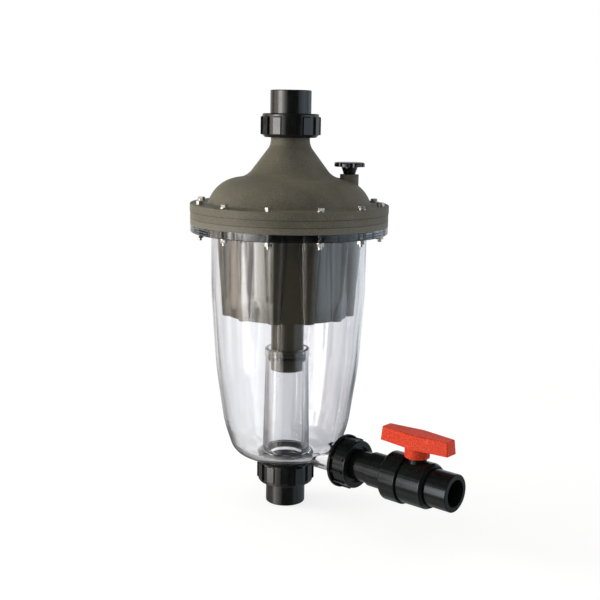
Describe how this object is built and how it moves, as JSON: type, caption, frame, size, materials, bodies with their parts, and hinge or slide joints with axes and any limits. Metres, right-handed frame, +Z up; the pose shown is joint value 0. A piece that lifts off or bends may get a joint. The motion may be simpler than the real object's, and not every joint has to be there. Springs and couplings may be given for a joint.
{
  "type": "centrifugal filter",
  "caption": "Multi-cyclone water filter: domed grey lid, clear bowl, unions at top and bottom, bleed knob and a side drain ball valve with a red handle.",
  "frame": {"origin": "centre of the bottom inlet socket's mouth", "axes": "+Z up the vessel's axis to the outlet socket, +X along the side drain"},
  "size_m": [0.4769, 0.308, 0.656],
  "materials": {
    "clear_plastic": "clear moulded plastic, polished",
    "grey_plastic": "glass-filled plastic, fine matt grain, olive grey",
    "black_plastic": "black pipe-grade plastic, semi-gloss",
    "ball_plastic": "turned plastic ball, smooth",
    "red_plastic": "orange-red moulded plastic, satin",
    "seal_rubber": "black rubber",
    "seat_plastic": "white low-friction plastic",
    "stainless": "stainless steel, bright"
  },
  "bodies": {
    "vessel": {"lid": "grey_plastic", "vortex_plate": "grey_plastic", "cyclone_pack": "grey_plastic", "inlet_tube": "grey_plastic", "riser_o_ring": "seal_rubber", "bowl": "clear_plastic", "bowl_o_ring": "seal_rubber", "chamber_o_ring": "seal_rubber", "lid_o_ring": "seal_rubber", "flange_bolts": "stainless", "bolt_washers": "stainless", "nut_washers": "stainless", "flange_nuts": "stainless"},
    "outlet_union": {"outlet_tail": "black_plastic", "outlet_o_ring": "seal_rubber"},
    "outlet_union_nut": {"outlet_nut": "black_plastic"},
    "inlet_union": {"inlet_tail": "black_plastic", "inlet_o_ring": "seal_rubber"},
    "inlet_union_nut": {"inlet_nut": "black_plastic"},
    "drain_valve": {"drain_tail": "black_plastic", "drain_o_ring": "seal_rubber", "valve_inlet_end": "black_plastic", "valve_body": "black_plastic", "valve_outlet_end": "black_plastic", "inlet_seat": "seat_plastic", "outlet_seat": "seat_plastic", "inlet_end_o_ring": "seal_rubber", "outlet_end_o_ring": "seal_rubber"},
    "drain_union_nut": {"drain_nut": "black_plastic"},
    "valve_handle": {"handle": "red_plastic", "stem": "black_plastic", "ball": "ball_plastic", "stem_o_ring": "seal_rubber"},
    "bleed_tip": {"bleed_seal": "seal_rubber"},
    "bleed_screw": {"bleed_knob": "black_plastic", "bleed_spindle": "black_plastic"}
  },
  "joints": [
    {"name": "outlet_union_lift", "type": "slide", "parent": "vessel", "child": "outlet_union", "axis": [0, 0, 1], "range_m": [0, 0.02]},
    {"name": "outlet_nut_turn", "type": "hinge", "parent": "outlet_union", "child": "outlet_union_nut", "pos_m": [0, 0, 0.6], "axis": [0, 0, 1], "range_deg": [0, 1440]},
    {"name": "inlet_union_drop", "type": "slide", "parent": "vessel", "child": "inlet_union", "axis": [0, 0, -1], "range_m": [0, 0.02]},
    {"name": "inlet_nut_turn", "type": "hinge", "parent": "inlet_union", "child": "inlet_union_nut", "pos_m": [0, 0, 0.05], "axis": [0, 0, -1], "range_deg": [0, 1440]},
    {"name": "drain_union_pull", "type": "slide", "parent": "vessel", "child": "drain_valve", "axis": [1, 0, 0], "range_m": [0, 0.015]},
    {"name": "drain_nut_turn", "type": "hinge", "parent": "drain_valve", "child": "drain_union_nut", "pos_m": [0.135, 0, 0.096], "axis": [1, 0, 0], "range_deg": [0, 1080]},
    {"name": "handle_turn", "type": "hinge", "parent": "drain_valve", "child": "valve_handle", "pos_m": [0.2555, 0, 0.096], "axis": [0, 0, -1], "range_deg": [0, 90]},
    {"name": "bleed_lift", "type": "slide", "parent": "vessel", "child": "bleed_tip", "axis": [0, 0, 1], "range_m": [0, 0.004]},
    {"name": "bleed_turn", "type": "hinge", "parent": "bleed_tip", "child": "bleed_screw", "pos_m": [0.0675, 0.06251, 0.54], "axis": [0, 0, 1], "range_deg": [0, 720]}
  ],
  "couplings": [
    {"joint": "outlet_nut_turn", "follows": "outlet_union_lift", "rad_per_m": 1256.6},
    {"joint": "inlet_nut_turn", "follows": "inlet_union_drop", "rad_per_m": 1256.6},
    {"joint": "drain_nut_turn", "follows": "drain_union_pull", "rad_per_m": 1256.6},
    {"joint": "bleed_turn", "follows": "bleed_lift", "rad_per_m": 3141.6}
  ]
}
